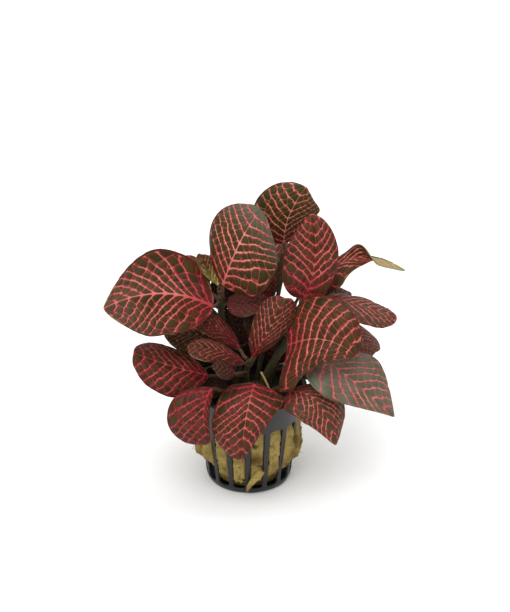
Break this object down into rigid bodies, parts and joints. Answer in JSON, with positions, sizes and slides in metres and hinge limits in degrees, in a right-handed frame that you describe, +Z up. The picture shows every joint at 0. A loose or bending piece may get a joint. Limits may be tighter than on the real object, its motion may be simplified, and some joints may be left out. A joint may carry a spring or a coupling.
{
  "type": "potted nerve plant",
  "caption": "Bushy net-veined foliage plant rooted in mineral wool in a small slotted net pot with a flat base to stand on.",
  "frame": {"origin": "centre of the pot's flat underside", "axes": "+Z up, -Y towards the front of the plant, +X to its right seen from the front"},
  "size_m": [0.1396, 0.0948, 0.1487],
  "materials": {
    "pot_plastic": "moulded, satin",
    "mineral_wool": "damp matted fibre",
    "stem": "soft green stem with fine hairs",
    "dry_stalk": "dry and dull",
    "leaf": "soft satin leaf with raised cells between sunk veins"
  },
  "bodies": {
    "root": {"net_pot": "pot_plastic", "wool_plug": "mineral_wool", "stem_right": "stem", "stem_top": "stem", "stem_left": "stem", "stem_centre": "stem", "stem_front": "stem", "stem_front_right": "stem", "stem_back": "stem", "stem_back_right": "stem", "dry_stalk": "dry_stalk", "leaf_left_large": "leaf", "leaf_top_left": "leaf", "leaf_young": "leaf", "leaf_top": "leaf", "leaf_top_right": "leaf", "leaf_right_curled": "leaf", "leaf_right_long": "leaf", "leaf_right_round": "leaf", "leaf_front_right": "leaf", "leaf_low_right": "leaf", "leaf_low_front_right": "leaf", "leaf_front": "leaf", "leaf_low_front_left": "leaf", "leaf_low_left": "leaf", "leaf_folded": "leaf", "leaf_centre": "leaf", "leaf_left_narrow": "leaf", "leaf_left_under": "leaf", "leaf_inner_front": "leaf", "leaf_inner_back": "leaf", "leaf_inner_left": "leaf", "leaf_inner_low": "leaf", "leaf_small_front": "leaf", "leaf_inner_right": "leaf", "leaf_inner_left_low": "leaf", "leaf_low_inner_left": "leaf", "leaf_low_inner_front": "leaf", "leaf_foot_left": "leaf", "leaf_foot_right": "leaf", "leaf_inner_upper_left": "leaf", "leaf_back_inner_left": "leaf", "leaf_back_inner_low": "leaf", "leaf_back_left": "leaf", "leaf_right_under": "leaf", "leaf_back_right": "leaf", "leaf_back_right_low": "leaf", "leaf_back_right_lowest": "leaf", "leaf_back_middle": "leaf", "leaf_back_top": "leaf", "leaf_back_lowest": "leaf", "leaf_back_left_low": "leaf", "leaf_back_left_lowest": "leaf", "leaf_back_upper_left": "leaf", "leaf_back_upper_right": "leaf", "leaf_back_crown": "leaf", "leaf_back_left_middle": "leaf"}
  },
  "joints": []
}
